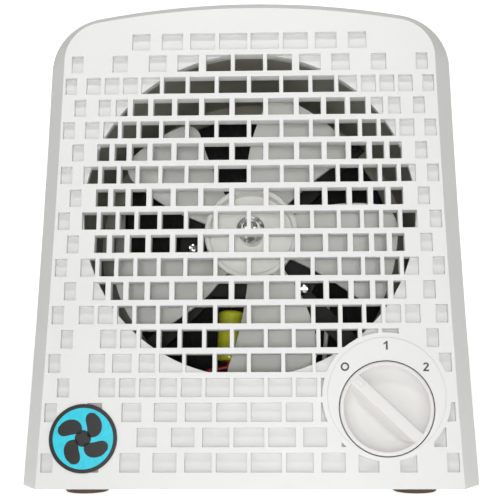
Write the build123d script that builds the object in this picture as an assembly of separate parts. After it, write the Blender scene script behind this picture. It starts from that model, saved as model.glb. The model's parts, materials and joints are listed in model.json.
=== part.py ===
"""Two-speed drying fan: a leaning box case with a brick-pattern front grille.

Millimetres, +Z up. The front faces -Y. The origin is on the surface the fan
stands on, under the middle of its bounding box.

Most pieces are drawn in the face frame: x to the right, t up along the leaning
front face, n out of the face towards the user. Depths behind the face are
therefore negative n.
"""
from build123d import *
from math import cos, sin, tan, radians
import os

# ---------------------------------------------------------------- driving sizes
LEAN = 8.0                # front face leans back from vertical, degrees
PITCH = 12.0              # height of one row of the grille
DEPTH = 150.0             # face bottom edge to rear wall
GLAND_OUT = 8.0           # cord gland standing out of the rear wall
FOOT_H = 4.0              # rubber foot height under the case
WALL = 2.5                # moulded wall
FACE_T = 6.5              # thickness of the face plate and of the grille bars

# face outline, in the face frame
FACE_TOP = 10.16 * PITCH          # crown of the top edge
FACE_BOTTOM = -10.42 * PITCH      # straight bottom edge
HALF_TOP = 96.1                   # half width where the side meets the top
HALF_MID = 98.3                   # half width at t = 0
HALF_BOTTOM = 102.7               # half width at the bottom edge
ARCH_R = 430.0                    # radius of the arched top edge
CORNER_R = 21.0                   # top corners
RIM_GROW = 9.5                    # the case flares by this much behind the face
RIM_DEPTH = 16.0                  # over this depth

# grille
BRICK_H = 9.1                     # brick height, so the bar between rows is 2.9
POCKET_DEPTH = 3.0                # blind bricks
OPENING_T = 13.0                  # centre of the round air opening
OPENING_R = 84.2
EDGE_BRICK_W = 5.9                # narrow brick that follows the side edge

# dial
KNOB_X, KNOB_T, KNOB_R = 66.7, -86.9, 22.75
KNOB_GAP = 0.5
KNOB_PROUD = 1.2
KNOB_BACK = -8.5
WELL_DEPTH = 12.0
WELL_FLOOR = 2.0
DIAL_T, DIAL_R, DIAL_PROUD = -81.0, 28.6, 0.4
DIAL_CLEAR_R = 31.2               # no bricks inside this circle
GRIP_ANGLE = 136.5                # the grip bar points at 0 on the dial

# round label
LABEL_X, LABEL_T, LABEL_R, LABEL_THICK = -80.3, -101.0, 16.6, 0.4

# fan; depths n are behind the face
FAN_T = 9.5                       # fan axis height on the face
HUB_R = 25.2
HUB_RIM = 2.8                     # width of the hub's raised rim
HUB_FRONT = -37.0                 # crest of the rim
HUB_FLOOR = -46.0                 # bottom of the cupped hub
HUB_BACK = -66.0
HUB_TAIL_R = 19.5                 # radius of the tapered hub at its back
BOSS_R = 6.1                      # boss in the middle of the cup
SEAT_N = -31.0                    # front of the boss, where the washer sits
WASHER_R, WASHER_T = 7.4, 1.2
NUT_FLATS, NUT_T = 6.6, 9.6       # a long nut
STUB_R = 2.0                      # threaded end of the shaft
STUB_LENGTH = 10.4
TIP_R = 79.0
LEAD_ROUND, TRAIL_ROUND = 13.0, 7.0    # rounding of the blade's two tip corners
BLADES = 5
BLADE_PHASE = -5.0                # middle of the first blade, degrees
BLADE_THICK = 2.4

# duct and motor
DUCT_R = 86.7
DUCT_WALL = 2.0
DUCT_END = -82.0
DUCT_EAR_R = 93.0                 # circle of the screw ears
EAR_N = -12.0                     # depth where ears meet the front panel's posts
ARM_ANGLES = (45, 135, 225, 315)
ARM_SCREW_R = DUCT_R - 3.5
BRACKET_N = -76.0                 # front of the motor bracket
BRACKET_THICK = 3.0
BRACKET_R = 41.5
MOTOR_SCREWS = ((36.5, 68), (34.2, 180), (37.6, 320))     # radius and angle around the shaft
PLATE_THICK = 1.5
PLATE_BACK = BRACKET_N - BRACKET_THICK - PLATE_THICK
SHAFT_R = 3.0
BEARING_BORE = 3.04
BEARING_R = 4.9
STACK_FRONT = -83.0
STACK_BACK = -103.0
STACK_HALF_X, STACK_TOP, STACK_LOW = 31.0, 33.0, -24.0
STACK_BORE = 15.5
ROTOR_R = 15.0
WINDOW_TOP, WINDOW_LOW = 25.0, 17.5
STACK_SCREW_X, STACK_SCREW_T = (-26, 26), 8.0
BRIDGE_N = -108.5                 # front of the rear bridge
M3_CLEAR, M2_PILOT = 1.6, 1.1     # screw holes, radius

# switch behind the knob
SWITCH_TOP = -WELL_DEPTH - WELL_FLOOR
SWITCH_NECK_R = 4.9
SWITCH_NUT_T = 2.0
TERMINAL_N = SWITCH_TOP - 25

# splice sleeve and leads
SLEEVE_TOP, SLEEVE_END = Vector(-13, -24.5, -92), Vector(-14.2, -53.5, -92)
SLEEVE_AXIS = (SLEEVE_END - SLEEVE_TOP).normalized()
SLEEVE_R = 7.4
NOTCH_LEFT, NOTCH_RIGHT, NOTCH_TOP = -23.5, -3.5, -18.5   # gap in the motor's mount that the sleeve hangs in
LEAD_R = 1.3

# rear door and filter
DOOR_HALF = 84.0
DOOR_LOW, DOOR_HIGH = 42.0, 214.0
FRAME_DEPTH = 17.0
SLOT_W, SLOT_PITCH = 4.4, 7.6
HINGE_X = -88.0
HINGE_Z = (78.0, 178.0)
KNUCKLE = 14.0
EAR = 5.0
PIN_R = 1.5
PLEATS = 20

# derived places
FRONT_Y = -(DEPTH + GLAND_OUT) / 2
REAR_Y = FRONT_Y + DEPTH
HINGE_Y = REAR_Y + 3.6
FILTER_FRONT = REAR_Y - FRAME_DEPTH + 2.2
FILTER_BACK = REAR_Y - 3.2
SIN, COS, TAN = sin(radians(LEAN)), cos(radians(LEAN)), tan(radians(LEAN))
FACE_ORIGIN = (0, FRONT_Y - FACE_BOTTOM * SIN, FOOT_H - FACE_BOTTOM * COS)
FACE = Plane(origin=FACE_ORIGIN, x_dir=(1, 0, 0), z_dir=(0, -COS, SIN)).location

# case screws, feet, cord gland, wire clip and terminal block
POSTS = [(-86, 226), (86, 226), (-95, 18), (95, 18)]      # x, z
POST_END = FRONT_Y + 62.0                                 # where the two halves' posts meet
REAR_ROUND = 8.0
FOOT_R, FOOT_STEM_R = 11.0, 3.0
FEET = {"foot_front_left": (-81.5, FRONT_Y + 24), "foot_front_right": (81.5, FRONT_Y + 24),
        "foot_rear_left": (-84, REAR_Y - 22), "foot_rear_right": (84, REAR_Y - 22)}
GLAND_X, GLAND_Z, GLAND_NECK_R, GLAND_BORE_R = 70.0, 22.0, 6.0, 3.6
CLIP_X, CLIP_Y, CLIP_Z = 20.0, REAR_Y - 38, 12.0
BLOCK_X, BLOCK_Y = 42.0, REAR_Y - 42


# ---------------------------------------------------------------- small helpers
def disc(radius, n_near, n_far, x=0.0, t=0.0):
    """Solid cylinder along n between two depths."""
    middle = (n_near + n_far) / 2
    return Pos(x, t, middle) * Cylinder(radius, abs(n_near - n_far))


def taper(radius_near, radius_far, n_near, n_far):
    """Solid cone frustum along n around the axis."""
    return Pos(0, 0, (n_near + n_far) / 2) * Cone(radius_far, radius_near, n_near - n_far)


def tube(outer, inner, n_near, n_far, x=0.0, t=0.0):
    """Round wall along n."""
    return disc(outer, n_near, n_far, x, t) - disc(inner, n_near + 1, n_far - 1, x, t)


def slab(x_low, x_high, t_low, t_high, n_low, n_high):
    """Box given by its limits, in whichever frame it is used."""
    centre = ((x_low + x_high) / 2, (t_low + t_high) / 2, (n_low + n_high) / 2)
    return Pos(*centre) * Box(x_high - x_low, t_high - t_low, n_high - n_low)


def rod(radius, x, z, y_low, y_high):
    """Solid cylinder along the world Y axis."""
    return Pos(x, (y_low + y_high) / 2, z) * Rot(90, 0, 0) * Cylinder(radius, y_high - y_low)


def polar(radius, angle):
    """Point at a radius and angle around the fan axis, in the face frame."""
    return radius * cos(radians(angle)), FAN_T + radius * sin(radians(angle))


def half_width(t):
    """Half width of the face at height t, following the gently bowed sides."""
    if t >= 0:
        return HALF_MID + (HALF_TOP - HALF_MID) * (t / FACE_TOP) ** 0.8
    return HALF_MID + (HALF_BOTTOM - HALF_MID) * (t / FACE_BOTTOM) ** 1.3


def outline(grow, low=FACE_BOTTOM - 20):
    """Front outline, grown sideways and upwards, running on below the case."""
    corner_x = HALF_TOP + grow
    top = FACE_TOP + grow
    corner_t = top - corner_x ** 2 / (2 * ARCH_R)
    bottom_x = half_width(FACE_BOTTOM) + (FACE_BOTTOM - low) * 0.05 + grow
    side = ThreePointArc((bottom_x, low), (HALF_MID + grow, 0), (corner_x, corner_t))
    arch = ThreePointArc((corner_x, corner_t), (0, top), (-corner_x, corner_t))
    other = ThreePointArc((-corner_x, corner_t), (-HALF_MID - grow, 0), (-bottom_x, low))
    base = Line((-bottom_x, low), (bottom_x, low))
    face = make_face([side, arch, other, base])
    corners = face.vertices().sort_by(Axis.Y)[2:]
    return fillet(corners, CORNER_R + grow)


def below(height):
    """Everything of the world under a level."""
    return slab(-300, 300, -400, 400, height - 400, height)


# ---------------------------------------------------------------- front panel
def brick_row(first_half, gap, widths):
    """Brick spans to the right of the centre line, as (inner, outer) pairs."""
    spans = []
    edge = first_half
    for width in widths:
        spans.append((edge + gap, edge + gap + width))
        edge += gap + width
    return spans


ODD_WIDTHS = (14.6, 13.0, 11.3, 9.6, 7.5, 7.5, 7.4)
EVEN_WIDTHS = (13.0, 11.3, 9.6, 7.95, 6.2, 6.2)
LOW_WIDTHS = (11.7, 10.1, 8.4, 8.0, 7.9, 8.0)
CENTRE_HALF = 7.33

# row number from the top: (half of the centre brick or 0, spans right of centre)
ROWS = {row: (0, brick_row(-1.0, 2.06, ODD_WIDTHS)) for row in range(3, 14, 2)}
ROWS.update({row: (CENTRE_HALF, brick_row(CENTRE_HALF, 2.68, EVEN_WIDTHS))
             for row in range(4, 13, 2)})
ROWS.update({row: (CENTRE_HALF, brick_row(CENTRE_HALF, 2.0, LOW_WIDTHS)) for row in (14, 16)})
ROWS[1] = (0, [(1.0, 15.5), (17.8, 30.6), (34.5, 45.5), (51.6, 61.0)])
ROWS[2] = (CENTRE_HALF, [(9.4, 22.3), (26.1, 37.1), (42.8, 52.1), (63.3, 71.0), (86.4, 92.4)])
ROWS[15] = (0, [(1.0, 15.8), (17.8, 31.0), (32.7, 44.0), (46.1, 54.0), (57.6, 67.1), (70.8, 78.7)])
ROWS[17] = (0, [(1.0, 15.7), (18.0, 31.0), (35.0, 46.1), (52.4, 61.9), (71.5, 78.7)])
ROWS[18] = (CENTRE_HALF, [(9.5, 22.5), (26.3, 37.6), (44.6, 54.3)])
ROWS[19] = (0, [(1.0, 15.8), (17.9, 31.0), (34.9, 46.3), (52.6, 62.3), (72.4, 80.4)])


def brick_spans(row):
    """All bricks of one row as (left, right) spans, edge bricks included."""
    centre_half, right = ROWS[row]
    spans = [(-centre_half, centre_half)] if centre_half else []
    if row > 2:
        inset = 1.5 if row % 2 else 6.8
        edge = half_width((10 - row) * PITCH - BRICK_H / 2) - inset
        right = right + [(edge - EDGE_BRICK_W, edge)]
    for inner, outer in right:
        spans += [(inner, outer), (-outer, -inner)]
    return spans


def brick_face():
    """Sketch of every brick of the grille."""
    faces = []
    for row in ROWS:
        t = (10 - row) * PITCH - BRICK_H / 2
        for left, right in brick_spans(row):
            faces.append(Pos((left + right) / 2, t) * Rectangle(right - left, BRICK_H))
    return Sketch() + faces


def face_y(z):
    """World Y of the face plane at height z."""
    return FRONT_Y + (z - FOOT_H) * TAN


def make_front_panel():
    """Leaning front half of the case: face, flared rim, dial, knob well and grille."""
    outer = loft([outline(0), Pos(0, 0, -RIM_DEPTH) * outline(RIM_GROW)], ruled=True)
    inner_near = RIM_GROW * FACE_T / RIM_DEPTH - WALL
    inner = loft([Pos(0, 0, -FACE_T) * outline(inner_near),
                  Pos(0, 0, -RIM_DEPTH - 0.01) * outline(RIM_GROW - WALL)], ruled=True)
    outer = FACE * outer - below(FOOT_H)
    inner = FACE * inner - below(FOOT_H + WALL)
    panel = outer - inner

    posts = [rod(5.0, x, z, face_y(z) + 2.5, POST_END) for x, z in POSTS]
    ears = [FACE * disc(4.2, -FACE_T + 1, EAR_N, *polar(DUCT_EAR_R, angle)) for angle in ARM_ANGLES]
    well = FACE * disc(KNOB_R + KNOB_GAP + 2, -1, -WELL_DEPTH - WELL_FLOOR, KNOB_X, KNOB_T)
    dial = FACE * disc(DIAL_R, DIAL_PROUD, -1, KNOB_X, DIAL_T)
    panel = panel + posts + ears + well + dial

    bricks = brick_face()
    blind = Pos(0, 0, -POCKET_DEPTH) * extrude(bricks, POCKET_DEPTH + 1)
    blind = blind - disc(DIAL_CLEAR_R, 2, -FACE_T, KNOB_X, DIAL_T)
    opening = disc(OPENING_R, 2, -FACE_T - 1, 0, OPENING_T)
    through = (Pos(0, 0, -FACE_T - 1) * extrude(bricks, FACE_T + 2)) & opening
    through = through - disc(DIAL_CLEAR_R, 2, -FACE_T - 2, KNOB_X, DIAL_T)
    panel = panel - FACE * blind - FACE * through

    panel = panel - FACE * disc(KNOB_R + KNOB_GAP, 5, -WELL_DEPTH, KNOB_X, KNOB_T)
    panel = panel - FACE * disc(SWITCH_NECK_R, 5, -20, KNOB_X, KNOB_T)
    pilots = [rod(1.5, x, z, face_y(z) + 8, POST_END + 1) for x, z in POSTS]
    ear_pilots = [FACE * disc(M2_PILOT, -5, -13, *polar(DUCT_EAR_R, angle)) for angle in ARM_ANGLES]
    return panel - pilots - ear_pilots


# ---------------------------------------------------------------- rear housing
def make_rear_housing():
    """Rear half of the case: shell, frame of the filter door, screw posts and hinge ears."""
    seam = FACE * (Pos(0, 0, -RIM_DEPTH) * outline(RIM_GROW))
    seam_inner = FACE * (Pos(0, 0, -RIM_DEPTH + 0.01) * outline(RIM_GROW - WALL))
    behind = slab(-300, 300, REAR_Y, REAR_Y + 300, -100, 500)
    outer = extrude(seam, 220, dir=(0, 1, 0)) - behind - below(FOOT_H)
    rear_edges = outer.faces().sort_by(Axis.Y)[-1].edges()
    upper_edges = [edge for edge in rear_edges if edge.center().Z > FOOT_H + 1]
    outer = fillet(upper_edges, REAR_ROUND)
    inner = extrude(seam_inner, 220, dir=(0, 1, 0)) - below(FOOT_H + WALL)
    inner = inner - slab(-300, 300, REAR_Y - WALL, REAR_Y + 300, -100, 500)
    shell = outer - inner

    frame_outer = slab(-DOOR_HALF - 3, DOOR_HALF + 3, REAR_Y - FRAME_DEPTH, REAR_Y - 1,
                       DOOR_LOW - 3, DOOR_HIGH + 3)
    lip = slab(-DOOR_HALF + 5, DOOR_HALF - 5, REAR_Y - 40, REAR_Y + 5, DOOR_LOW + 5, DOOR_HIGH - 5)
    seat = slab(-DOOR_HALF - 0.5, DOOR_HALF + 0.5, REAR_Y - FRAME_DEPTH + 2, REAR_Y + 5,
                DOOR_LOW - 0.5, DOOR_HIGH + 0.5)
    shell = shell + frame_outer - seat - lip

    posts = [rod(6.5, x, z, POST_END, REAR_Y - 1) for x, z in POSTS]
    shell = shell + posts
    wells = [rod(4.0, x, z, POST_END + 14, REAR_Y + 5) for x, z in POSTS]
    holes = [rod(1.9, x, z, POST_END - 1, REAR_Y) for x, z in POSTS]
    shell = shell - wells - holes

    for z in HINGE_Z:
        for ear_low in (z - KNUCKLE / 2 - EAR - 0.4, z + KNUCKLE / 2 + 0.4):
            ear = slab(HINGE_X - 3, HINGE_X + 3, REAR_Y - 1, HINGE_Y, ear_low, ear_low + EAR)
            nose = Pos(HINGE_X, HINGE_Y, ear_low + EAR / 2) * Cylinder(3, EAR)
            shell = shell + ear + nose
        shell = shell - Pos(HINGE_X, HINGE_Y, z) * Cylinder(PIN_R, KNUCKLE + 2 * EAR + 4)

    shell = shell - rod(GLAND_NECK_R, GLAND_X, GLAND_Z, REAR_Y - 10, REAR_Y + 10)
    for x, y in FEET.values():
        shell = shell - Pos(x, y, FOOT_H) * Cylinder(FOOT_STEM_R, 12)
    clip_pad = slab(CLIP_X - 8, CLIP_X + 8, CLIP_Y - 6, CLIP_Y + 6, FOOT_H + 1, CLIP_Z)
    return shell + clip_pad - Pos(CLIP_X + 4, CLIP_Y, CLIP_Z) * Cylinder(1.1, 6)


def make_foot(x, y):
    """Rubber disc with a rounded lower edge and a stem pushed into the case floor."""
    pad = Pos(x, y, FOOT_H / 2) * Cylinder(FOOT_R, FOOT_H)
    pad = fillet(pad.edges().filter_by(GeomType.CIRCLE).sort_by(Axis.Z)[0], 1.4)
    stem = Pos(x, y, FOOT_H + WALL / 2) * Cylinder(FOOT_STEM_R, WALL)
    head = Pos(x, y, FOOT_H + WALL + 1) * Cylinder(FOOT_STEM_R + 1.2, 2)
    return pad + stem + head


def make_cord_gland():
    """Rubber bush in the rear wall; the supply cord passes through its bore."""
    neck = rod(GLAND_NECK_R, GLAND_X, GLAND_Z, REAR_Y - WALL, REAR_Y)
    inner = rod(GLAND_NECK_R + 1.5, GLAND_X, GLAND_Z, REAR_Y - WALL - 3, REAR_Y - WALL)
    collar = rod(GLAND_NECK_R + 2, GLAND_X, GLAND_Z, REAR_Y, REAR_Y + 2)
    nose = rod(GLAND_NECK_R - 0.6, GLAND_X, GLAND_Z, REAR_Y + 2, REAR_Y + GLAND_OUT)
    bush = neck + inner + collar + nose
    return bush - rod(GLAND_BORE_R, GLAND_X, GLAND_Z, REAR_Y - 20, REAR_Y + 20)


# ---------------------------------------------------------------- rear door, filter
def make_rear_grille():
    """Side-hinged intake door with tall vertical slots."""
    door = slab(-DOOR_HALF, DOOR_HALF, REAR_Y - 2.2, REAR_Y + 1.0, DOOR_LOW, DOOR_HIGH)
    middle = (DOOR_LOW + DOOR_HIGH) / 2
    cutters = []
    for low, high in ((DOOR_LOW + 9, middle - 3), (middle + 3, DOOR_HIGH - 9)):
        for index in range(-10, 11):
            x = index * SLOT_PITCH
            cutters.append(slab(x - SLOT_W / 2, x + SLOT_W / 2, REAR_Y - 5, REAR_Y + 5, low, high))
    door = door - cutters
    tab = slab(DOOR_HALF - 4, DOOR_HALF + 7, REAR_Y + 0.4, REAR_Y + 2.4, middle - 12, middle + 12)
    door = door + tab
    for z in HINGE_Z:
        arm = slab(HINGE_X, -DOOR_HALF + 4, REAR_Y + 0.4, HINGE_Y + 1,
                   z - KNUCKLE / 2, z + KNUCKLE / 2)
        knuckle = Pos(HINGE_X, HINGE_Y, z) * Cylinder(3, KNUCKLE)
        door = door + arm + knuckle
        door = door - Pos(HINGE_X, HINGE_Y, z) * Cylinder(PIN_R + 0.05, KNUCKLE + 2)
    return door


def make_hinge_pins():
    """Two steel pins through the hinge ears and the door's knuckles."""
    length = KNUCKLE + 2 * EAR + 0.8
    return [Pos(HINGE_X, HINGE_Y, z) * Cylinder(PIN_R, length) for z in HINGE_Z]


def make_filter_frame():
    """Open frame around the filter sheet."""
    outer = slab(-DOOR_HALF + 0.2, DOOR_HALF - 0.2, FILTER_FRONT, FILTER_BACK,
                 DOOR_LOW + 0.2, DOOR_HIGH - 0.2)
    inner = slab(-DOOR_HALF + 5, DOOR_HALF - 5, FILTER_FRONT - 1, FILTER_BACK + 1,
                 DOOR_LOW + 5, DOOR_HIGH - 5)
    return outer - inner


def make_filter_media():
    """Pleated sheet standing in its frame, pleats running up and down."""
    left = -DOOR_HALF + 5
    step = -2 * left / PLEATS
    near, far, thick = FILTER_FRONT + 1.2, FILTER_BACK - 2.4, 1.4
    front_line = []
    for index in range(PLEATS + 1):
        front_line.append((left + index * step, near if index % 2 else far))
    back_line = [(x, y + thick) for x, y in reversed(front_line)]
    profile = make_face(Polyline(*front_line, *back_line, close=True))
    return Pos(0, 0, DOOR_LOW + 5) * extrude(profile, DOOR_HIGH - DOOR_LOW - 10)


# ---------------------------------------------------------------- fan
def make_fan_duct():
    """Round air duct with a rear flange, hung on four ears behind the front panel."""
    duct = tube(DUCT_R + DUCT_WALL, DUCT_R, -FACE_T, DUCT_END, 0, FAN_T)
    flange = tube(DUCT_R + 1, DUCT_R - 7, BRACKET_N - BRACKET_THICK, DUCT_END, 0, FAN_T)
    duct = duct + flange
    for angle in ARM_ANGLES:
        x, t = polar(DUCT_EAR_R, angle)
        web = Rot(0, 0, angle) * slab(DUCT_R + 1, DUCT_EAR_R, -4.2, 4.2, EAR_N - 3, EAR_N)
        duct = duct + disc(4.2, EAR_N, EAR_N - 3, x, t) + Pos(0, FAN_T, 0) * web
    duct = duct - disc(DUCT_R, -FACE_T + 1, BRACKET_N - BRACKET_THICK, 0, FAN_T)
    for angle in ARM_ANGLES:
        duct = duct - disc(1.5, EAR_N + 1, EAR_N - 4, *polar(DUCT_EAR_R, angle))
        duct = duct - disc(M2_PILOT, -70, -90, *polar(ARM_SCREW_R, angle))
    return FACE * duct


def blade_section(radius, lead_angle, trail_angle, lead_n, trail_n, camber):
    """Thin section of one blade at a radius from the axis, hollow on the outlet side."""
    lead = (radius * sin(radians(lead_angle)), lead_n)
    trail = (-radius * sin(radians(trail_angle)), trail_n)
    middle = ((lead[0] + trail[0]) / 2 - camber * 0.5, (lead[1] + trail[1]) / 2 - camber)
    front = ThreePointArc(trail, middle, lead)
    nose = Line(lead, (lead[0], lead[1] - BLADE_THICK))
    back = ThreePointArc((lead[0], lead[1] - BLADE_THICK), (middle[0], middle[1] - BLADE_THICK),
                         (trail[0], trail[1] - BLADE_THICK))
    tail = Line((trail[0], trail[1] - BLADE_THICK), trail)
    section = make_face([front, nose, back, tail])
    return Plane(origin=(radius, 0, 0), x_dir=(0, 1, 0), z_dir=(1, 0, 0)).location * section


def make_blade():
    """One blade, its middle line along +x: a twisted sheet cut to a rounded paddle outline."""
    sections = [blade_section(20, 34, 26, -39, -61, 2.0),
                blade_section(45, 27, 26, -34, -63, 3.5),
                blade_section(62, 24, 27, -31, -64, 4.5),
                blade_section(TIP_R + 4, 19, 28, -29, -65, 5.0)]
    lead_root, lead_middle, lead_tip = (19.0, 10.8), (50.0, 19.8), (76.6, 19.4)
    trail_root, trail_middle, trail_tip = (19.0, -6.8), (50.0, -20.0), (71.6, -33.4)
    paddle = make_face([ThreePointArc(lead_root, lead_middle, lead_tip),
                        ThreePointArc(lead_tip, (TIP_R, 0), trail_tip),
                        ThreePointArc(trail_tip, trail_middle, trail_root),
                        Line(trail_root, lead_root)])
    trail_corner, lead_corner = paddle.vertices().sort_by(Axis.X)[2:]
    paddle = fillet(lead_corner, LEAD_ROUND)
    paddle = fillet(paddle.vertices().sort_by_distance(trail_corner)[0], TRAIL_ROUND)
    return loft(sections) & (Pos(0, 0, -100) * extrude(paddle, 100))


def make_fan_impeller():
    """Cupped hub with a raised rim and a boss, and five blades."""
    cup_r = HUB_R - HUB_RIM
    shell = disc(HUB_R, HUB_FRONT, HUB_FRONT - 4) + taper(HUB_R, HUB_TAIL_R, HUB_FRONT - 4, HUB_BACK)
    rim_edges = shell.edges().filter_by(GeomType.CIRCLE).sort_by(Axis.Z)[-1]
    shell = fillet(rim_edges, 0.9)
    shell = shell - disc(cup_r, HUB_FRONT + 1, HUB_FLOOR)
    cavity = taper(HUB_R - 4, HUB_TAIL_R - 2.4, HUB_FLOOR - 2.4, HUB_BACK - 0.5)
    core = taper(HUB_R - 1, HUB_TAIL_R - 1, HUB_FRONT - 4, HUB_BACK)
    cup_edge = shell.edges().filter_by(GeomType.CIRCLE).filter_by_position(
        Axis.Z, HUB_FRONT - 0.1, HUB_FRONT + 0.1)
    shell = fillet(cup_edge.sort_by(SortBy.LENGTH)[0], 0.9)
    boss = disc(BOSS_R, SEAT_N, HUB_BACK + 4)
    boss = fillet(boss.edges().filter_by(GeomType.CIRCLE).sort_by(Axis.Z)[-1], 0.6)
    blade = make_blade()
    blades = [Rot(0, 0, BLADE_PHASE + 360 / BLADES * index) * blade - core
              for index in range(BLADES)]
    fan = (shell - cavity) + boss + blades
    return FACE * Pos(0, FAN_T, 0) * (fan - disc(SHAFT_R, SEAT_N - 5, HUB_BACK - 5)
                                      - disc(STUB_R, SEAT_N + 1, SEAT_N - 6))


def make_fan_washer():
    """Dished spring washer under the fan nut."""
    profile = make_face([
        Line((STUB_R, SEAT_N), (WASHER_R - 2, SEAT_N)),
        Line((WASHER_R - 2, SEAT_N), (WASHER_R - 0.2, SEAT_N + 0.9)),
        ThreePointArc((WASHER_R - 0.2, SEAT_N + 0.9), (WASHER_R, SEAT_N + 1.4),
                      (WASHER_R - 0.3, SEAT_N + 1.9)),
        Line((WASHER_R - 0.3, SEAT_N + 1.9), (WASHER_R - 2.2, SEAT_N + WASHER_T)),
        Line((WASHER_R - 2.2, SEAT_N + WASHER_T), (STUB_R, SEAT_N + WASHER_T)),
        Line((STUB_R, SEAT_N + WASHER_T), (STUB_R, SEAT_N))])
    return FACE * Pos(0, FAN_T, 0) * revolve(Plane.XZ.location * profile, Axis.Z)


def hexagon(across_flats, n_near, n_far, x, t, bore):
    """Hexagonal nut blank along n."""
    shape = RegularPolygon(across_flats / 2, 6, major_radius=False)
    solid = Pos(x, t, n_far) * extrude(shape, n_near - n_far)
    return solid - disc(bore, n_near + 1, n_far - 1, x, t)


def make_fan_nut():
    """Chamfered nut on the threaded end of the shaft."""
    base = SEAT_N + WASHER_T
    nut = hexagon(NUT_FLATS, base + NUT_T, base, 0, FAN_T, STUB_R)
    cap = disc(NUT_FLATS * 0.58, base + NUT_T, base - 1, 0, FAN_T)
    cap = chamfer(cap.edges().filter_by(GeomType.CIRCLE).sort_by(Axis.Z)[-1], 0.7)
    return FACE * (nut & cap)


def make_motor_shaft():
    """Stepped steel shaft from the fan nut to the rear bearing."""
    shaft = disc(SHAFT_R, SEAT_N - 5, BRIDGE_N - 3.5, 0, FAN_T)
    stub = disc(STUB_R, SEAT_N + STUB_LENGTH, SEAT_N - 5, 0, FAN_T)
    stub = chamfer(stub.edges().filter_by(GeomType.CIRCLE).sort_by(Axis.Z)[-1], 0.4)
    return FACE * (shaft + stub)


def wire_notch():
    """Gap under the motor through its mounting ring and plate."""
    return slab(NOTCH_LEFT, NOTCH_RIGHT, -50, NOTCH_TOP, PLATE_BACK - 5, BRACKET_N + 5)


def make_motor_bracket():
    """Black spider: a ring in front of the motor, on four arms to the duct flange."""
    back = BRACKET_N - BRACKET_THICK
    spider = tube(BRACKET_R, 30, BRACKET_N, back, 0, FAN_T)
    for angle in ARM_ANGLES:
        arm = Rot(0, 0, angle) * slab(BRACKET_R - 2, DUCT_R - 0.4, -5, 5, back, BRACKET_N)
        spider = spider + Pos(0, FAN_T, 0) * arm
    spider = spider & disc(DUCT_R - 0.3, BRACKET_N, back, 0, FAN_T)
    for angle in ARM_ANGLES:
        spider = spider - disc(1.5, BRACKET_N + 1, back - 1, *polar(ARM_SCREW_R, angle))
    for radius, angle in MOTOR_SCREWS:
        spider = spider - disc(M3_CLEAR, BRACKET_N + 1, back - 1, *polar(radius, angle))
    spider = spider - wire_notch()
    return FACE * spider


def make_motor_plate():
    """Pressed steel disc behind the spider, with the cup of the front bearing."""
    front = BRACKET_N - BRACKET_THICK
    plate = disc(BRACKET_R - 0.5, front, PLATE_BACK, 0, FAN_T)
    cup = disc(7, BRACKET_N, PLATE_BACK, 0, FAN_T)
    plate = plate + cup - disc(BEARING_R, 0, -100, 0, FAN_T)
    for radius, angle in MOTOR_SCREWS:
        plate = plate - disc(M3_CLEAR, 0, -100, *polar(radius, angle))
    plate = plate - wire_notch()
    for x in STACK_SCREW_X:
        plate = plate - disc(M3_CLEAR, 0, -100, x, FAN_T + STACK_SCREW_T)
    return FACE * plate


def pan_screw(x, t, seat, length, shank_r, head_r, head_t):
    """Pan head screw driven along -n; its head rests on the seat depth."""
    head = disc(head_r, seat + head_t, seat, x, t)
    head = fillet(head.edges().filter_by(GeomType.CIRCLE).sort_by(Axis.Z)[-1], head_t * 0.7)
    reach, floor = head_r * 0.55, seat + head_t * 0.4
    cross = slab(x - reach, x + reach, t - 0.35, t + 0.35, floor, seat + 9)
    turned = slab(x - 0.35, x + 0.35, t - reach, t + reach, floor, seat + 9)
    return head - cross - turned + disc(shank_r, seat, seat - length, x, t)


def make_bearing(n_near, n_far):
    """Sintered bush that the motor shaft turns in."""
    return FACE * tube(BEARING_R, BEARING_BORE, n_near, n_far, 0, FAN_T)


def make_motor_stator():
    """Laminated stack with a round rotor bore and a window under the coil limb."""
    stack = slab(-STACK_HALF_X, STACK_HALF_X, STACK_LOW, STACK_TOP, STACK_BACK, STACK_FRONT)
    stack = fillet(stack.edges().filter_by(Axis.Z), 4)
    stack = stack - disc(STACK_BORE, STACK_FRONT + 1, STACK_BACK - 1)
    stack = stack - slab(-21.5, 21.5, WINDOW_LOW, WINDOW_TOP, STACK_BACK - 1, STACK_FRONT + 1)
    for x in STACK_SCREW_X:
        stack = stack - disc(M3_CLEAR, STACK_FRONT + 1, STACK_BACK - 1, x, STACK_SCREW_T)
    return FACE * Pos(0, FAN_T, 0) * stack


def make_coil_bobbin():
    """Two square flanges and a sleeve around the coil limb."""
    bobbin = slab(-19, 19, WINDOW_TOP - 1, STACK_TOP + 1, STACK_BACK - 1, STACK_FRONT + 1)
    for x in (-18.5, 18.5):
        bobbin = bobbin + slab(x - 0.8, x + 0.8, WINDOW_LOW + 0.3, STACK_TOP + 4,
                               STACK_BACK - 5, STACK_FRONT + 1.9)
    limb = slab(-24, 24, WINDOW_TOP, STACK_TOP, STACK_BACK, STACK_FRONT)
    return FACE * Pos(0, FAN_T, 0) * (bobbin - limb)


def make_motor_coil():
    """Copper winding between the bobbin's flanges."""
    outer = slab(-17.7, 17.7, WINDOW_LOW + 0.8, STACK_TOP + 3.4, STACK_BACK - 4.4, STACK_FRONT + 1.8)
    outer = fillet(outer.edges().filter_by(Axis.X), 2)
    inner = slab(-20, 20, WINDOW_TOP - 1, STACK_TOP + 1, STACK_BACK - 1, STACK_FRONT + 1)
    return FACE * Pos(0, FAN_T, 0) * (outer - inner)


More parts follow.
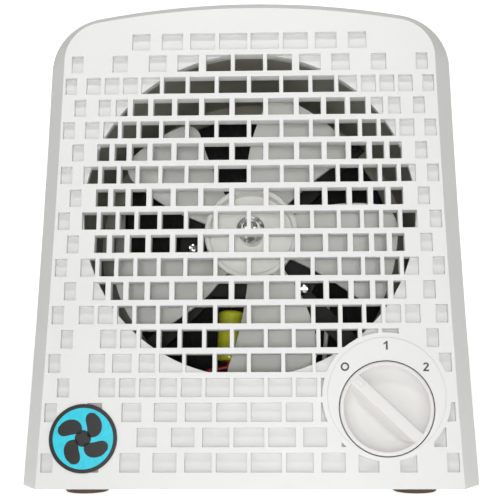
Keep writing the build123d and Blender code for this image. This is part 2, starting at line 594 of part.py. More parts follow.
def make_motor_rotor():
    """Squirrel-cage rotor with a cast ring at each end."""
    rotor = disc(ROTOR_R, STACK_FRONT + 1, STACK_BACK - 1, 0, FAN_T)
    rings = disc(ROTOR_R - 1.5, STACK_FRONT + 2.4, STACK_BACK - 2.4, 0, FAN_T)
    return FACE * (rotor + rings - disc(SHAFT_R, 0, -200, 0, FAN_T))


def make_rear_bridge():
    """Pressed strap behind the stack that carries the rear bearing."""
    bridge = slab(-31, 31, -6, 13, BRIDGE_N - 1.5, BRIDGE_N)
    bridge = bridge + disc(7, BRIDGE_N, BRIDGE_N - 4)
    bridge = bridge - disc(BEARING_R, -90, -120)
    for x in STACK_SCREW_X:
        bridge = bridge + disc(3.2, STACK_BACK, BRIDGE_N, x, STACK_SCREW_T)
        bridge = bridge - disc(M3_CLEAR, -90, -120, x, STACK_SCREW_T)
    return FACE * Pos(0, FAN_T, 0) * bridge


def make_stack_screws():
    """Two long screws that clamp bridge, stack and plate together."""
    screws = []
    for x in STACK_SCREW_X:
        t = FAN_T + STACK_SCREW_T
        head = disc(3, BRIDGE_N - 1.5, BRIDGE_N - 3.7, x, t)
        shank = disc(M3_CLEAR, PLATE_BACK + PLATE_THICK, BRIDGE_N - 1.5, x, t)
        screws.append(FACE * (head + shank))
    return screws


def make_motor_spacers():
    """Two sleeves that hold the stack off the plate."""
    return [FACE * tube(3.2, M3_CLEAR, PLATE_BACK, STACK_FRONT, x, FAN_T + STACK_SCREW_T)
            for x in STACK_SCREW_X]


# ---------------------------------------------------------------- switch and knob
def make_knob():
    """Scooped disc with a grip bar across it; the bar has one steep and one sloping flank."""
    profile = make_face([
        Line((0, KNOB_BACK), (KNOB_R, KNOB_BACK)),
        Line((KNOB_R, KNOB_BACK), (KNOB_R, 0.2)),
        ThreePointArc((KNOB_R, 0.2), (KNOB_R - 0.35, 0.9), (KNOB_R - 1.1, KNOB_PROUD)),
        Line((KNOB_R - 1.1, KNOB_PROUD), (KNOB_R - 1.9, KNOB_PROUD)),
        ThreePointArc((KNOB_R - 1.9, KNOB_PROUD), (KNOB_R - 4.2, -2.9), (KNOB_R - 9, -4.8)),
        ThreePointArc((KNOB_R - 9, -4.8), (7, -5.25), (0, -5.3)),
        Line((0, -5.3), (0, KNOB_BACK))])
    body = revolve(Plane.XZ.location * profile, Axis.Z)
    crest = KNOB_PROUD - 0.1
    section = make_face(Polyline((-3.1, -7), (-3.1, crest), (2.7, crest), (6.4, -5.2), (6.4, -7), close=True))
    half_length = KNOB_R - 1.5
    bar = extrude(Plane.YZ.offset(-half_length).location * section, 2 * half_length)
    bar = fillet(bar.edges().filter_by(Axis.X).sort_by(Axis.Z)[-2:], 1.2)
    pointer = slab(KNOB_R - 7.0, KNOB_R - 2.6, -1.1, 1.1, KNOB_PROUD - 0.5, KNOB_PROUD + 0.3)
    knob = body + bar + pointer
    knob = knob - disc(19, KNOB_BACK + 1.4, KNOB_BACK - 1) + disc(6, KNOB_BACK + 2, KNOB_BACK)
    knob = knob - disc(SHAFT_R, -3, -20)
    return FACE * Pos(KNOB_X, KNOB_T, 0) * Rot(0, 0, GRIP_ANGLE) * knob


def make_switch_shaft():
    """Round shaft that the knob is pressed on."""
    return FACE * disc(SHAFT_R, -3, -26, KNOB_X, KNOB_T)


def make_switch_body():
    """Rotary switch with its threaded neck and three flat terminals."""
    body = slab(-17, 17, -14, 14, SWITCH_TOP - 18, SWITCH_TOP)
    body = fillet(body.edges().filter_by(Axis.Z), 2)
    neck = disc(SWITCH_NECK_R, -9.4, SWITCH_TOP - 1)
    body = body + neck - disc(BEARING_BORE, 0, -26.5)
    for x in (-10, 0, 10):
        body = body + slab(x - 2.4, x + 2.4, -0.4, 0.4, TERMINAL_N, SWITCH_TOP - 17)
    return FACE * Pos(KNOB_X, KNOB_T, 0) * body


def make_switch_nut():
    """Nut that clamps the switch in the floor of the knob well."""
    return FACE * hexagon(14, -WELL_DEPTH + SWITCH_NUT_T, -WELL_DEPTH, KNOB_X, KNOB_T, SWITCH_NECK_R)


# ---------------------------------------------------------------- wiring
def at_face(x, t, n):
    """World position of a point given in the face frame."""
    return (FACE * Pos(x, t, n)).position


def lead(points, bend):
    """Insulated lead through world points: straight runs joined by arcs."""
    path = FilletPolyline(*points, radius=bend)
    return sweep(Plane(origin=path @ 0, z_dir=path % 0) * Circle(LEAD_R), path=path)


def make_lead_red():
    """From the splice under the motor to the first switch terminal."""
    out = tuple(SLEEVE_END + SLEEVE_AXIS * 3.2)
    terminal = KNOB_X - 10
    route = [tuple(SLEEVE_END), out, (-27, -59, -91), (-30, -80, -88), (-8, -97, -82),
             (18, -99, -68), (44, -97, -56), (terminal, KNOB_T, -52), (terminal, KNOB_T, TERMINAL_N)]
    return lead([at_face(*point) for point in route], 2.2)


def make_lead_coil():
    """From the coil down past the stack into the splice sleeve."""
    side = -STACK_HALF_X - 4.5
    above = tuple(SLEEVE_TOP - SLEEVE_AXIS * 5)
    route = [(-19.3, FAN_T + 25, -105.8), (side, FAN_T + 25, -105.8), (side, FAN_T - 25, -98),
             (-25, FAN_T - 28.5, -92), above, tuple(SLEEVE_TOP)]
    return lead([at_face(*point) for point in route], 2.8)


def make_lead_white():
    """From the coil down the right side of the stack to the terminal block."""
    side = STACK_HALF_X + 11.4
    block = (BLOCK_X - 5, BLOCK_Y - 7, FOOT_H + WALL + 5)
    route = [at_face(19.3, FAN_T + 25, -105.8), at_face(side, FAN_T + 25, -105.8),
             at_face(side, FAN_T - 36, -90), (block[0], block[1] - 14, block[2] + 18),
             (block[0], block[1] - 8, block[2]), block]
    return lead(route, 3)


def make_lead_black():
    """From the terminal block up to the middle switch terminal."""
    block = (BLOCK_X + 5, BLOCK_Y - 7, FOOT_H + WALL + 5)
    bend = (block[0], block[1] - 13, block[2])
    return lead([block, bend, at_face(KNOB_X, KNOB_T, -52), at_face(KNOB_X, KNOB_T, TERMINAL_N)], 5)


def make_splice_sleeve():
    """Shrink sleeve over the soldered joint between the coil and its lead."""
    axis = Plane(origin=SLEEVE_TOP, z_dir=SLEEVE_AXIS)
    length = (SLEEVE_END - SLEEVE_TOP).length
    solid = axis.location * Pos(0, 0, length / 2) * Cylinder(SLEEVE_R, length)
    return FACE * fillet(solid.edges().filter_by(GeomType.CIRCLE), 2.2)


def make_terminal_block():
    """Two-way screw terminal block on the case floor."""
    block = slab(-9, 9, -7, 7, 0, 12)
    block = block - [slab(x - 2, x + 2, -8, 8, 3, 7) for x in (-5, 5)]
    for x in (-5, 5):
        for t in (-3.5, 3.5):
            block = block - Pos(x, t, 10) * Cylinder(1.8, 5)
    return Pos(BLOCK_X, BLOCK_Y, FOOT_H + WALL) * block


def make_wire_clip():
    """P-clip screwed to the case floor."""
    base = slab(CLIP_X - 6, CLIP_X + 7, CLIP_Y - 4, CLIP_Y + 4, CLIP_Z, CLIP_Z + 1.2)
    loop = Pos(CLIP_X - 3, CLIP_Y, CLIP_Z + 4) * Rot(90, 0, 0) * Cylinder(4, 8)
    hollow = Pos(CLIP_X - 3, CLIP_Y, CLIP_Z + 4) * Rot(90, 0, 0) * Cylinder(2.8, 10)
    return base + loop - hollow - Pos(CLIP_X + 4, CLIP_Y, CLIP_Z) * Cylinder(1.2, 9)


def make_round_label():
    """Thin round label stuck on the face."""
    return FACE * disc(LABEL_R, LABEL_THICK, 0, LABEL_X, LABEL_T)


def make_case_screws():
    """Four long screws from behind that hold the two halves of the case."""
    screws = []
    for x, z in POSTS:
        head = rod(3.4, x, z, POST_END + 14, POST_END + 16.4)
        screws.append(head + rod(1.5, x, z, POST_END - 16, POST_END + 14))
    return screws


def make_duct_screws():
    """Four screws driven towards the face, through the duct's ears."""
    seat = EAR_N - 3
    screws = []
    for angle in ARM_ANGLES:
        x, t = polar(DUCT_EAR_R, angle)
        screws.append(FACE * (disc(2.8, seat, seat - 1.8, x, t) + disc(M2_PILOT, seat + 9, seat, x, t)))
    return screws


def make_bracket_screws():
    """Four screws that hold the spider to the duct flange."""
    return [FACE * pan_screw(*polar(ARM_SCREW_R, angle), BRACKET_N, 6, M2_PILOT, 2.6, 1.8)
            for angle in ARM_ANGLES]


def make_motor_screws():
    """Three pan head screws that hold the motor plate to the spider."""
    return [FACE * pan_screw(*polar(radius, angle), BRACKET_N, 5, M3_CLEAR, 3.4, 2.6)
            for radius, angle in MOTOR_SCREWS]


# ---------------------------------------------------------------- write the parts
def save(name, shape):
    """Write one node: a solid, or a list of separate solids."""
    solids = shape if isinstance(shape, list) else [shape]
    pieces = []
    for solid in solids:
        pieces += solid.solids()
    export_step(Compound(children=pieces), f"parts/{name}.step")


def main():
    """Make every node of the fan."""
    os.makedirs("parts", exist_ok=True)
    save("front_panel", make_front_panel())
    save("rear_housing", make_rear_housing())
    save("rear_grille", make_rear_grille())
    save("hinge_pins", make_hinge_pins())
    save("filter_frame", make_filter_frame())
    save("filter_media", make_filter_media())
    save("fan_duct", make_fan_duct())
    save("fan_impeller", make_fan_impeller())
    save("fan_washer", make_fan_washer())
    save("fan_nut", make_fan_nut())
    save("motor_shaft", make_motor_shaft())
    save("motor_rotor", make_motor_rotor())
    save("motor_stator", make_motor_stator())
    save("motor_coil", make_motor_coil())
    save("coil_bobbin", make_coil_bobbin())
    save("motor_bracket", make_motor_bracket())
    save("motor_plate", make_motor_plate())
    save("rear_bridge", make_rear_bridge())
    save("front_bearing", make_bearing(BRACKET_N, PLATE_BACK))
    save("rear_bearing", make_bearing(BRIDGE_N, BRIDGE_N - 4))
    save("motor_spacers", make_motor_spacers())
    save("motor_screws", make_motor_screws())
    save("stack_screws", make_stack_screws())
    save("bracket_screws", make_bracket_screws())
    save("duct_screws", make_duct_screws())
    save("case_screws", make_case_screws())
    save("knob", make_knob())
    save("switch_shaft", make_switch_shaft())
    save("switch_body", make_switch_body())
    save("switch_nut", make_switch_nut())
    save("round_label", make_round_label())
    save("splice_sleeve", make_splice_sleeve())
    save("lead_red", make_lead_red())
    save("lead_black", make_lead_black())
    save("lead_coil", make_lead_coil())
    save("lead_white", make_lead_white())
    save("terminal_block", make_terminal_block())
    save("wire_clip", make_wire_clip())
    save("cord_gland", make_cord_gland())
    for name, (x, y) in FEET.items():
        save(name, make_foot(x, y))


if __name__ == "__main__":
    main()
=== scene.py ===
"""Looks of the leaning drying fan: materials, dial figures, round label, light and camera.

Metres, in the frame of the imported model: +Z up, the grille faces -Y.
"""
import bpy
import bmesh
import json
from math import cos, sin, pi, radians
from mathutils import Matrix, Vector


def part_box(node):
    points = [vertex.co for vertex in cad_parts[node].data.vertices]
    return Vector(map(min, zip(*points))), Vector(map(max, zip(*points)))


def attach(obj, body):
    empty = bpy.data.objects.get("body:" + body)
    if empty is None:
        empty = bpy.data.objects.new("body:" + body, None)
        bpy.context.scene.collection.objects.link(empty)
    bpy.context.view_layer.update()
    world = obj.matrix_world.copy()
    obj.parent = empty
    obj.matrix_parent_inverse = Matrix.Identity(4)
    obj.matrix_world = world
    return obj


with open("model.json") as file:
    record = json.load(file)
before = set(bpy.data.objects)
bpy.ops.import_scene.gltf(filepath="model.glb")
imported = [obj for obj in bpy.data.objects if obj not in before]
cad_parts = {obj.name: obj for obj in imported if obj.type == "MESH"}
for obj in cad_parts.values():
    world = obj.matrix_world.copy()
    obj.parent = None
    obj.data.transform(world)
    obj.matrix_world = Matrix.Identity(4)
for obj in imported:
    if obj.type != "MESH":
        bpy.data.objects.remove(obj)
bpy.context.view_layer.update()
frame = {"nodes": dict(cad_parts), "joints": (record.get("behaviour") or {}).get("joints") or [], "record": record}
MM = 0.001

JOINTS = {joint["name"]: joint for joint in frame["joints"]}
OUT = Vector(JOINTS["fan_spin"]["axis"]).normalized()      # out of the leaning face
RIGHT = Vector((1, 0, 0))
UP = OUT.cross(RIGHT)                                      # up along the leaning face
KNOB = Vector(JOINTS["knob_turn"]["pos_m"])
KNOB_JOINT_DEPTH = 5.0 * MM                                # of the knob joint's point behind the face
DIAL_PROUD = 0.4 * MM                                      # height of the dial's raised disc above the face
INK_THICK = 0.05 * MM


def face_matrix(origin):
    """Frame on the leaning face: x right, y up the face, z out of it."""
    return Matrix((
        (RIGHT.x, UP.x, OUT.x, origin.x),
        (RIGHT.y, UP.y, OUT.y, origin.y),
        (RIGHT.z, UP.z, OUT.z, origin.z),
        (0, 0, 0, 1)))


# ---------------------------------------------------------------- materials
def new_material(name):
    material = bpy.data.materials.new(name)
    material.use_nodes = True
    tree = material.node_tree
    shader = next(node for node in tree.nodes if node.type == "BSDF_PRINCIPLED")
    return material, tree, shader


def add(tree, kind, **values):
    node = tree.nodes.new(kind)
    for name, value in values.items():
        setattr(node, name, value)
    return node


def noise(tree, scale, detail=3.0, roughness=0.5, stretch=(1, 1, 1)):
    """Noise in object space; a stretch above 1 makes the grain finer along that axis."""
    place = add(tree, "ShaderNodeTexCoord")
    mapping = add(tree, "ShaderNodeMapping")
    mapping.inputs["Scale"].default_value = stretch
    texture = add(tree, "ShaderNodeTexNoise")
    texture.inputs["Scale"].default_value = scale
    texture.inputs["Detail"].default_value = detail
    texture.inputs["Roughness"].default_value = roughness
    tree.links.new(place.outputs["Object"], mapping.inputs["Vector"])
    tree.links.new(mapping.outputs["Vector"], texture.inputs["Vector"])
    return texture


def ramp(tree, source, stops):
    """Colour ramp from (position, colour) stops."""
    node = add(tree, "ShaderNodeValToRGB")
    elements = node.color_ramp.elements
    while len(elements) < len(stops):
        elements.new(0.5)
    for element, (position, colour) in zip(elements, stops):
        element.position = position
        element.color = (*colour, 1)
    tree.links.new(source, node.inputs["Fac"])
    return node


def shade(colour, factor):
    """The colour made darker or lighter, no channel above 1."""
    return tuple(min(1.0, channel * factor) for channel in colour)


def uneven_gloss(tree, shader, texture, rough):
    """Roughness that wanders between two values with a noise texture."""
    spread = ramp(tree, texture.outputs["Fac"], [(0.3, (rough[0],) * 3), (0.7, (rough[1],) * 3)])
    tree.links.new(spread.outputs["Color"], shader.inputs["Roughness"])


def grain_bump(tree, shader, height_source, strength, distance):
    """Fine relief of the given height in metres."""
    bump = add(tree, "ShaderNodeBump")
    bump.inputs["Strength"].default_value = strength
    bump.inputs["Distance"].default_value = distance
    tree.links.new(height_source, bump.inputs["Height"])
    tree.links.new(bump.outputs["Normal"], shader.inputs["Normal"])
    return bump


PLASTIC_IOR = 1.46
PLASTIC_GRAIN = 2600        # grains per metre of the spark-eroded mould


def moulded_plastic(name, colour, rough=(0.38, 0.5), bump=0.12, mottle=0.03, coat=0.0, edge=0.0):
    """Injection-moulded plastic: faint cloudiness, fine spark-erosion grain, uneven gloss.

    A coat adds shine, and an edge is the radius in metres that corners are shaded with.
    """
    material, tree, shader = new_material(name)
    cloud = noise(tree, 14, 4, 0.55)
    stops = [(0.3, shade(colour, 1 - mottle)), (0.7, shade(colour, 1 + mottle))]
    tint = ramp(tree, cloud.outputs["Fac"], stops)
    tree.links.new(tint.outputs["Color"], shader.inputs["Base Color"])
    uneven_gloss(tree, shader, noise(tree, 60, 3, 0.6), rough)
    fine = noise(tree, PLASTIC_GRAIN, 2, 0.5)
    bumped = grain_bump(tree, shader, fine.outputs["Fac"], bump, 0.00005)
    if edge:
        rounded = add(tree, "ShaderNodeBevel", samples=6)
        rounded.inputs["Radius"].default_value = edge
        tree.links.new(rounded.outputs["Normal"], bumped.inputs["Normal"])
    shader.inputs["IOR"].default_value = PLASTIC_IOR
    shader.inputs["Coat Weight"].default_value = coat
    shader.inputs["Coat Roughness"].default_value = 0.25
    return material


def brushed_metal(name, colour, rough=(0.25, 0.4), stretch=(1, 1, 40), grain=300, metallic=1.0):
    """Metal with a drawn or rolled grain along one axis and a little staining."""
    material, tree, shader = new_material(name)
    stain = noise(tree, 90, 5, 0.6)
    tint = ramp(tree, stain.outputs["Fac"], [(0.3, shade(colour, 0.82)), (0.65, colour)])
    tree.links.new(tint.outputs["Color"], shader.inputs["Base Color"])
    lines = noise(tree, grain, 3, 0.6, stretch)
    uneven_gloss(tree, shader, lines, rough)
    grain_bump(tree, shader, lines.outputs["Fac"], 0.15, 0.00003)
    shader.inputs["Metallic"].default_value = metallic
    return material


def plated(name, colour):
    """Bright nickel plating, barely clouded."""
    material, tree, shader = new_material(name)
    cloud = noise(tree, 700, 3, 0.6)
    uneven_gloss(tree, shader, cloud, (0.02, 0.06))
    tint = ramp(tree, cloud.outputs["Fac"], [(0.35, shade(colour, 0.93)), (0.6, colour)])
    tree.links.new(tint.outputs["Color"], shader.inputs["Base Color"])
    shader.inputs["Metallic"].default_value = 1.0
    return material


def striped_metal(name, colour, pitch, direction, rough=0.42, metallic=0.9):
    """Stacked sheets or wound wire: fine ridges across one direction."""
    material, tree, shader = new_material(name)
    place = add(tree, "ShaderNodeTexCoord")
    along = add(tree, "ShaderNodeVectorMath", operation="DOT_PRODUCT")
    along.inputs[1].default_value = direction
    tree.links.new(place.outputs["Object"], along.inputs[0])
    phase = add(tree, "ShaderNodeMath", operation="MULTIPLY")
    phase.inputs[1].default_value = 2 * pi / pitch
    tree.links.new(along.outputs["Value"], phase.inputs[0])
    wave = add(tree, "ShaderNodeMath", operation="SINE")
    tree.links.new(phase.outputs["Value"], wave.inputs[0])
    level = add(tree, "ShaderNodeMapRange")
    level.inputs["From Min"].default_value = -1
    tree.links.new(wave.outputs["Value"], level.inputs["Value"])
    tint = ramp(tree, level.outputs["Result"], [(0.0, shade(colour, 0.45)), (0.55, colour)])
    tree.links.new(tint.outputs["Color"], shader.inputs["Base Color"])
    grain_bump(tree, shader, level.outputs["Result"], 0.7, pitch / 5)
    shader.inputs["Roughness"].default_value = rough
    shader.inputs["Metallic"].default_value = metallic
    return material


def rubber(name, colour):
    """Matt rubber with a dusty, slightly pitted skin."""
    material, tree, shader = new_material(name)
    dust = noise(tree, 220, 5, 0.65)
    tint = ramp(tree, dust.outputs["Fac"], [(0.35, colour), (0.75, shade(colour, 1.5))])
    tree.links.new(tint.outputs["Color"], shader.inputs["Base Color"])
    uneven_gloss(tree, shader, dust, (0.62, 0.8))
    pits = noise(tree, 1500, 3, 0.6)
    grain_bump(tree, shader, pits.outputs["Fac"], 0.3, 0.0001)
    return material


def felt(name, colour):
    """Black carbon felt: matted fibres, grey lint, almost no gloss."""
    material, tree, shader = new_material(name)
    lint = noise(tree, 900, 6, 0.75, (1, 1, 0.3))
    tint = ramp(tree, lint.outputs["Fac"], [(0.4, colour), (0.72, shade(colour, 3.5))])
    tree.links.new(tint.outputs["Color"], shader.inputs["Base Color"])
    fibres = noise(tree, 2600, 4, 0.7)
    grain_bump(tree, shader, fibres.outputs["Fac"], 0.8, 0.0003)
    shader.inputs["Roughness"].default_value = 0.95
    shader.inputs["Sheen Weight"].default_value = 0.15
    shader.inputs["Sheen Roughness"].default_value = 0.5
    return material


def translucent_sleeve(name, colour):
    """Glossy shrink sleeve, thinner in places where the joint shows through."""
    material, tree, shader = new_material(name)
    body = noise(tree, 130, 3, 0.5)
    tint = ramp(tree, body.outputs["Fac"], [(0.3, shade(colour, 0.75)), (0.6, colour)])
    tree.links.new(tint.outputs["Color"], shader.inputs["Base Color"])
    creases = noise(tree, 260, 2, 0.5, (1, 1, 0.25))
    grain_bump(tree, shader, creases.outputs["Fac"], 0.35, 0.0004)
    shader.inputs["Roughness"].default_value = 0.16
    shader.inputs["Coat Weight"].default_value = 0.6
    shader.inputs["Coat Roughness"].default_value = 0.08
    shader.inputs["Subsurface Weight"].default_value = 0.15
    shader.inputs["Subsurface Scale"].default_value = 0.002
    return material


def printed_ink(name, colour, rough=0.42):
    """Printed ink film with a trace of uneven density."""
    material, tree, shader = new_material(name)
    density = noise(tree, 400, 4, 0.6)
    tint = ramp(tree, density.outputs["Fac"], [(0.3, shade(colour, 0.9)), (0.7, shade(colour, 1.08))])
    tree.links.new(tint.outputs["Color"], shader.inputs["Base Color"])
    shader.inputs["Roughness"].default_value = rough
    return material


WIRE = {"rough": (0.22, 0.34), "bump": 0.05, "coat": 0.3}      # smooth insulation
MATERIALS = {
    "case_plastic": moulded_plastic("case_plastic", (0.69, 0.69, 0.68), edge=0.35 * MM, mottle=0.012),
    "knob_plastic": moulded_plastic("knob_plastic", (0.68, 0.67, 0.65), (0.5, 0.6), bump=0.05,
                                    edge=0.4 * MM, mottle=0.012),
    "fan_plastic": moulded_plastic("fan_plastic", (0.97, 0.97, 0.93), (0.3, 0.42), bump=0.06, mottle=0.02),
    # painted shade: the inside of the duct is coloured dark olive grey, as dark as it looks in shade
    "duct_plastic": moulded_plastic("duct_plastic", (0.26, 0.26, 0.215), (0.45, 0.6), mottle=0.06),
    "black_plastic": moulded_plastic("black_plastic", (0.009, 0.009, 0.008), (0.5, 0.65), mottle=0.1),
    "block_plastic": moulded_plastic("block_plastic", (0.75, 0.74, 0.69), (0.25, 0.35), coat=0.2),
    "filter_fabric": felt("filter_fabric", (0.012, 0.012, 0.012)),
    "sleeve_plastic": translucent_sleeve("sleeve_plastic", (0.93, 0.98, 0.06)),
    "red_insulation": moulded_plastic("red_insulation", (0.55, 0.012, 0.03), **WIRE),
    "white_insulation": moulded_plastic("white_insulation", (0.8, 0.8, 0.78), **WIRE),
    "black_insulation": moulded_plastic("black_insulation", (0.02, 0.02, 0.022), **WIRE),
    "label_plastic": moulded_plastic("label_plastic", (0.014, 0.013, 0.014), (0.28, 0.38), bump=0.04,
                                     coat=0.2),
    "chrome": plated("chrome", (0.93, 0.93, 0.91)),
    "steel": brushed_metal("steel", (0.58, 0.58, 0.57)),
    "rotor_metal": brushed_metal("rotor_metal", (0.62, 0.62, 0.61), (0.35, 0.55), (1, 1, 1), 500),
    "lamination": striped_metal("lamination", (0.3, 0.3, 0.31), 0.5 * MM, tuple(OUT)),
    "black_metal": brushed_metal("black_metal", (0.012, 0.012, 0.012), (0.45, 0.6), (1, 1, 1), 800, 0.2),
    "copper": striped_metal("copper", (0.52, 0.21, 0.09), 0.55 * MM, tuple(RIGHT), 0.28, 0.85),
    "bronze": brushed_metal("bronze", (0.5, 0.34, 0.17), (0.35, 0.5), (1, 1, 1), 1200),
    "black_rubber": rubber("black_rubber", (0.02, 0.02, 0.02)),
    "brown_rubber": rubber("brown_rubber", (0.05, 0.031, 0.016)),
}
INK_GREY = printed_ink("ink_grey", (0.05, 0.05, 0.05))
INK_CYAN = printed_ink("ink_cyan", (0.03, 0.55, 0.69), 0.3)

for part in frame["record"]["subparts"]:
    node = frame["nodes"][part["node"]]
    node.data.materials.clear()
    node.data.materials.append(MATERIALS[part["material_slot"]])


# ---------------------------------------------------------------- pieces on the face
def new_piece(name, mesh):
    piece = bpy.data.objects.new(name, mesh)
    bpy.context.scene.collection.objects.link(piece)
    return piece


def printed_piece(name, mesh, material):
    """Piece of the case printed on the face or on the label."""
    piece = new_piece(name, mesh)
    piece.data.materials.clear()
    piece.data.materials.append(material)
    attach(piece, "case")


def flat_shape(name, outlines, thickness):
    """Solid ink shape from closed outlines in the face plane; inner outlines are holes."""
    curve = bpy.data.curves.new(name, "CURVE")
    curve.dimensions = "2D"
    curve.fill_mode = "BOTH"
    curve.extrude = thickness / 2
    for outline in outlines:
        spline = curve.splines.new("POLY")
        spline.points.add(len(outline) - 1)
        for point, (x, y) in zip(spline.points, outline):
            point.co = (x, y, 0, 1)
        spline.use_cyclic_u = True
    holder = bpy.data.objects.new(name + "_curve", curve)
    bpy.context.scene.collection.objects.link(holder)
    bpy.context.view_layer.update()
    graph = bpy.context.evaluated_depsgraph_get()
    mesh = bpy.data.meshes.new_from_object(holder.evaluated_get(graph))
    bpy.data.objects.remove(holder)
    return mesh


FIGURE_HEIGHT = 4.3 * MM
FIGURE_PLACES = {"0": (-19.9, 20.2), "1": (0.2, 30.6), "2": (19.4, 20.0)}    # mm from the knob's axis


def arc(radius_x, radius_y, start, end, x=0.0, y=0.0, steps=24):
    """Points of an elliptic arc between two angles in degrees."""
    angles = [radians(start + (end - start) * k / steps) for k in range(steps + 1)]
    return [(x + radius_x * cos(angle), y + radius_y * sin(angle)) for angle in angles]


def figure_outlines(figure):
    """Outlines of a plain sans-serif figure in units of its height, centred on the origin."""
    if figure == "0":
        return [arc(0.49, 0.5, 0, 350), arc(0.29, 0.3, 0, 350)]
    if figure == "1":
        return [[(0.22, -0.5), (0.22, 0.5), (0.06, 0.5), (-0.1, 0.33), (-0.27, 0.26), (-0.27, 0.08),
                 (-0.12, 0.14), (0.0, 0.23), (0.0, -0.5)]]
    outer = arc(0.33, 0.3, 170, -25, 0, 0.2)
    inner = arc(0.13, 0.12, -18, 160, 0, 0.2)
    return [outer + [(-0.05, -0.31), (0.34, -0.31), (0.34, -0.5), (-0.36, -0.5), (-0.3, -0.33)] + inner]


def dial_figure(figure, x, up):
    """One printed figure of the dial, centred at a place given from the knob's axis."""
    outlines = []
    for outline in figure_outlines(figure):
        outlines.append([(px * FIGURE_HEIGHT, py * FIGURE_HEIGHT) for px, py in outline])
    mesh = flat_shape("dial_figure_" + figure, outlines, INK_THICK)
    centre = KNOB + OUT * (KNOB_JOINT_DEPTH + DIAL_PROUD) + RIGHT * x * MM + UP * up * MM
    mesh.transform(face_matrix(centre))
    printed_piece("dial_figure_" + figure, mesh, INK_GREY)


for figure, (x, up) in FIGURE_PLACES.items():
    dial_figure(figure, x, up)


LABEL_LOW, LABEL_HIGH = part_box("round_label")
LABEL_CENTRE = (LABEL_LOW + LABEL_HIGH) / 2
LABEL_R = (LABEL_HIGH.x - LABEL_LOW.x) / 2
LABEL_THICK = 0.4 * MM
FIELD_R = 0.885 * LABEL_R                                  # the rest is the black rim
WHEEL_HUB_R = 0.24 * LABEL_R
VANES = 4
VANE_INNER_R = 0.17 * LABEL_R                              # starts under the hub
VANE_OUTER_R = 0.8 * LABEL_R
VANE_FIRST = 0.5                                           # turn of the first vane, radians
VANE_HALF_WIDTH = radians(34)
VANE_SWEEP = radians(38)                                   # how far a vane's tip runs ahead of its root


def circle_outline(radius, steps=96):
    return [(radius * cos(2 * pi * k / steps), radius * sin(2 * pi * k / steps)) for k in range(steps)]


def vane_outline(turn, steps=20):
    """One rounded vane of the label's air wheel."""
    lead = []
    trail = []
    for k in range(steps + 1):
        share = k / steps
        radius = VANE_INNER_R + (VANE_OUTER_R - VANE_INNER_R) * share
        width = VANE_HALF_WIDTH * sin(pi * (0.12 + 0.88 * share)) ** 0.6
        middle = turn + VANE_SWEEP * share
        lead.append((radius * cos(middle + width), radius * sin(middle + width)))
        trail.append((radius * cos(middle - width), radius * sin(middle - width)))
    return lead + trail[::-1]


def round_label():
    """Generic label: a black disc with a cyan field and a black four-vane air wheel, without letters."""
    field = flat_shape("label_field", [circle_outline(FIELD_R)], INK_THICK)
    field.transform(face_matrix(LABEL_CENTRE + OUT * (LABEL_THICK / 2 + INK_THICK / 2)))
    printed_piece("label_field", field, INK_CYAN)
    over_field = face_matrix(LABEL_CENTRE + OUT * (LABEL_THICK / 2 + INK_THICK * 1.5))
    for k in range(VANES):
        vane = flat_shape("label_vane", [vane_outline(k * 2 * pi / VANES + VANE_FIRST)], INK_THICK)
        vane.transform(over_field)
        printed_piece(f"label_vane_{k + 1}", vane, MATERIALS["label_plastic"])
    hub = flat_shape("label_hub", [circle_outline(WHEEL_HUB_R, steps=48)], INK_THICK)
    hub.transform(over_field)
    printed_piece("label_hub", hub, MATERIALS["label_plastic"])


round_label()


# ---------------------------------------------------------------- floor, light, camera
FLOOR_HALF = 6              # metres to each side
FLOOR_DROP = 0.2 * MM       # under the feet
FLOOR_GLOW = 0.7            # the floor is a lit table
WORLD_LOW = 0.16            # strength below the horizon
WORLD_HIGH = 0.36           # strength overhead
WORLD_BEHIND = 1.0          # added in a patch behind the object
LIGHTS = (                  # name, place, aim, edge in metres, power in watts
    ("key_above", (-0.02, -0.44, 0.74), (0, 0, 0.15), 0.08, 1.6),
    ("front_box", (0, -1.25, 0.62), (0, 0, 0.12), 0.7, 0.65),
    ("front_fill", (0.02, -0.75, 0.07), (0, 0, 0.12), 0.06, 1.45),
)
CAMERA_PLACE = (0.01716, -0.61066, 0.0784)
CAMERA_TURN = (94.313, 0.256, 1.754)                       # degrees
LENS_MM = 79.2
SENSOR_MM = 36


def make_floor():
    mesh = bpy.data.meshes.new("floor")
    builder = bmesh.new()
    bmesh.ops.create_grid(builder, x_segments=1, y_segments=1, size=FLOOR_HALF)
    builder.to_mesh(mesh)
    builder.free()
    floor = new_piece("floor", mesh)
    floor.location.z = -FLOOR_DROP
    material, tree, shader = new_material("floor_paper")
    shader.inputs["Roughness"].default_value = 0.9
    cloud = noise(tree, 3, 2, 0.5)
    tint = ramp(tree, cloud.outputs["Fac"], [(0.3, (0.78, 0.78, 0.78)), (0.7, (0.81, 0.81, 0.81))])
    tree.links.new(tint.outputs["Color"], shader.inputs["Base Color"])
    shader.inputs["Emission Strength"].default_value = FLOOR_GLOW
    shader.inputs["Emission Color"].default_value = (1, 1, 1, 1)
    floor.data.materials.append(material)


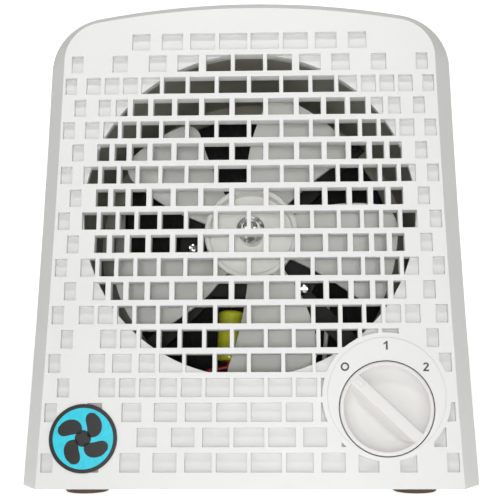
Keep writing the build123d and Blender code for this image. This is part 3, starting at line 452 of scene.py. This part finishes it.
def make_world():
    """Pale surroundings: brighter overhead, white behind the object."""
    world = bpy.data.worlds.new("studio")
    bpy.context.scene.world = world
    world.use_nodes = True
    tree = world.node_tree
    tree.nodes.clear()
    place = add(tree, "ShaderNodeTexCoord")
    split = add(tree, "ShaderNodeSeparateXYZ")
    tree.links.new(place.outputs["Generated"], split.inputs["Vector"])
    height = add(tree, "ShaderNodeMapRange")
    height.inputs["From Min"].default_value = -0.1
    height.inputs["From Max"].default_value = 0.8
    height.inputs["To Min"].default_value = WORLD_LOW
    height.inputs["To Max"].default_value = WORLD_HIGH
    tree.links.new(split.outputs["Z"], height.inputs["Value"])
    behind = add(tree, "ShaderNodeMapRange", interpolation_type="SMOOTHSTEP")
    behind.inputs["From Min"].default_value = 0.75
    behind.inputs["From Max"].default_value = 0.93
    behind.inputs["To Max"].default_value = WORLD_BEHIND
    tree.links.new(split.outputs["Y"], behind.inputs["Value"])
    level = add(tree, "ShaderNodeMath", operation="ADD")
    tree.links.new(height.outputs["Result"], level.inputs[0])
    tree.links.new(behind.outputs["Result"], level.inputs[1])
    background = add(tree, "ShaderNodeBackground")
    background.inputs["Color"].default_value = (1, 1, 1, 1)
    tree.links.new(level.outputs["Value"], background.inputs["Strength"])
    output = add(tree, "ShaderNodeOutputWorld")
    tree.links.new(background.outputs["Background"], output.inputs["Surface"])


def area_light(name, place, aim, edge, power):
    light = bpy.data.lights.new(name, "AREA")
    light.shape = "SQUARE"
    light.size = edge
    light.energy = power
    lamp = bpy.data.objects.new(name, light)
    lamp.location = place
    lamp.rotation_euler = (Vector(aim) - Vector(place)).to_track_quat("-Z", "Y").to_euler()
    bpy.context.scene.collection.objects.link(lamp)


def make_camera():
    camera_data = bpy.data.cameras.new("camera")
    camera_data.lens = LENS_MM
    camera_data.sensor_width = SENSOR_MM
    camera = bpy.data.objects.new("camera", camera_data)
    camera.location = CAMERA_PLACE
    camera.rotation_euler = [radians(angle) for angle in CAMERA_TURN]
    bpy.context.scene.collection.objects.link(camera)
    bpy.context.scene.camera = camera


make_floor()
make_world()
for light in LIGHTS:
    area_light(*light)
make_camera()
bpy.context.scene.view_settings.view_transform = "Standard"
